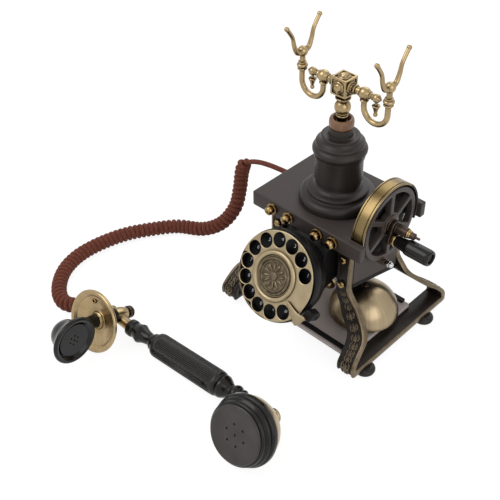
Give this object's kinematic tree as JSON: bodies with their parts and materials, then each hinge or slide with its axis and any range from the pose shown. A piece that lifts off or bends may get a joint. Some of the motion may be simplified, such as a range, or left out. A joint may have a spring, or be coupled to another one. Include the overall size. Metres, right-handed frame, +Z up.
{
  "type": "corded telephone",
  "caption": "Antique style corded rotary telephone on curved side frames, with gongs underneath, a crank, a sprung cradle and its handset lying in front on a curly cord.",
  "frame": {"origin": "on the table, under the middle of the base and handset's bounding box, cord left out", "axes": "+Z up, -Y towards the person who dials, +X towards the crank"},
  "size_m": [0.3613, 0.3386, 0.2981],
  "materials": {
    "plate": "satin",
    "case": "satin",
    "black": "satin",
    "handset_black": "satin",
    "antique_brass": "aged satin",
    "bright_brass": "polished",
    "dial_brass": "satin",
    "bronze": "antique bronze relief",
    "spoked": "satin",
    "dark_brown": "gloss",
    "wood": "varnished",
    "base_grey": "satin",
    "rubber": "matte",
    "gong": "polished",
    "steel": "polished",
    "copper": "enamelled winding",
    "number_black": "gloss",
    "board": "satin",
    "cord": "woven"
  },
  "bodies": {
    "base": {"top_plate": "plate", "column": "plate", "wood_collar": "wood", "body_case": "case", "bottom_cover": "black", "left_side_frame": "bronze", "right_side_frame": "bronze", "base_plate": "base_grey", "base_trim": "black", "feet": "rubber", "left_gong": "gong", "right_gong": "gong", "gong_posts": "antique_brass", "ringer_coils": "copper", "terminal_screws": "antique_brass", "frame_screws": "antique_brass", "dial_housing": "black", "dial_bracket": "black", "number_plate": "number_black", "finger_stop": "dial_brass", "crank_arch": "bright_brass", "wheel_back": "black", "axle_bush": "antique_brass", "drag_rod": "steel", "drag_spring": "steel", "cradle_spring": "steel", "hook_switch": "black", "circuit_board": "board", "line_jack": "black", "cord_gland": "antique_brass", "cord_lead": "cord", "cord_coil": "cord"},
    "dial": {"finger_wheel": "dial_brass", "dial_medallion": "dial_brass", "dial_shaft": "dial_brass"},
    "crank": {"spoked_wheel": "spoked", "crank_axle": "dark_brown", "crank_arm": "dark_brown"},
    "grip_spin": {"crank_grip": "black"},
    "cradle": {"cradle_post": "antique_brass", "cradle_cube": "antique_brass", "cradle_bar": "antique_brass", "left_hook": "antique_brass", "right_hook": "antique_brass", "left_fork": "antique_brass", "right_fork": "antique_brass", "pendants": "antique_brass"},
    "hammer": {"bell_hammer": "antique_brass"},
    "handset": {"handset_grip": "handset_black", "handset_collars": "handset_black", "handset_tube": "antique_brass", "mouthpiece_barrel": "antique_brass", "mouthpiece_dish": "antique_brass", "mouthpiece_horn": "handset_black", "mouthpiece_face": "handset_black", "receiver_cup": "antique_brass", "receiver_rings": "handset_black", "receiver_face": "handset_black", "receiver_knob": "antique_brass", "handset_gland": "antique_brass"}
  },
  "joints": [
    {"name": "cradle_slide", "type": "slide", "parent": "base", "child": "cradle", "axis": [0, 0, -1], "range_m": [0, 0.005], "stiffness_N_per_m": 300, "springref_m": -0.0085, "deforming": ["cradle_spring"]},
    {"name": "dial_turn", "type": "hinge", "parent": "base", "child": "dial", "pos_m": [0.0332, 0.0003, 0.0992], "axis": [0, 0.8838, -0.4679], "range_deg": [0, 330], "stiffness_Nm_per_rad": 0.01, "springref_deg": -34.38},
    {"name": "crank_turn", "type": "hinge", "parent": "base", "child": "crank", "pos_m": [0.087, 0.0943, 0.1335], "axis": [1, 0, 0], "continuous": true},
    {"name": "crank_grip_spin", "type": "hinge", "parent": "crank", "child": "grip_spin", "pos_m": [0.117, 0.09037, 0.12269], "axis": [1, 0, 0], "continuous": true},
    {"name": "hammer_swing", "type": "hinge", "parent": "base", "child": "hammer", "pos_m": [0.027, 0.0893, 0.076], "axis": [0, 1, 0], "range_deg": [-4, 4], "stiffness_Nm_per_rad": 0.02},
    {"name": "handset_lift", "type": "slide", "parent": "base", "child": "handset", "axis": [0, 0, 1], "range_m": [0, 0.1]}
  ]
}
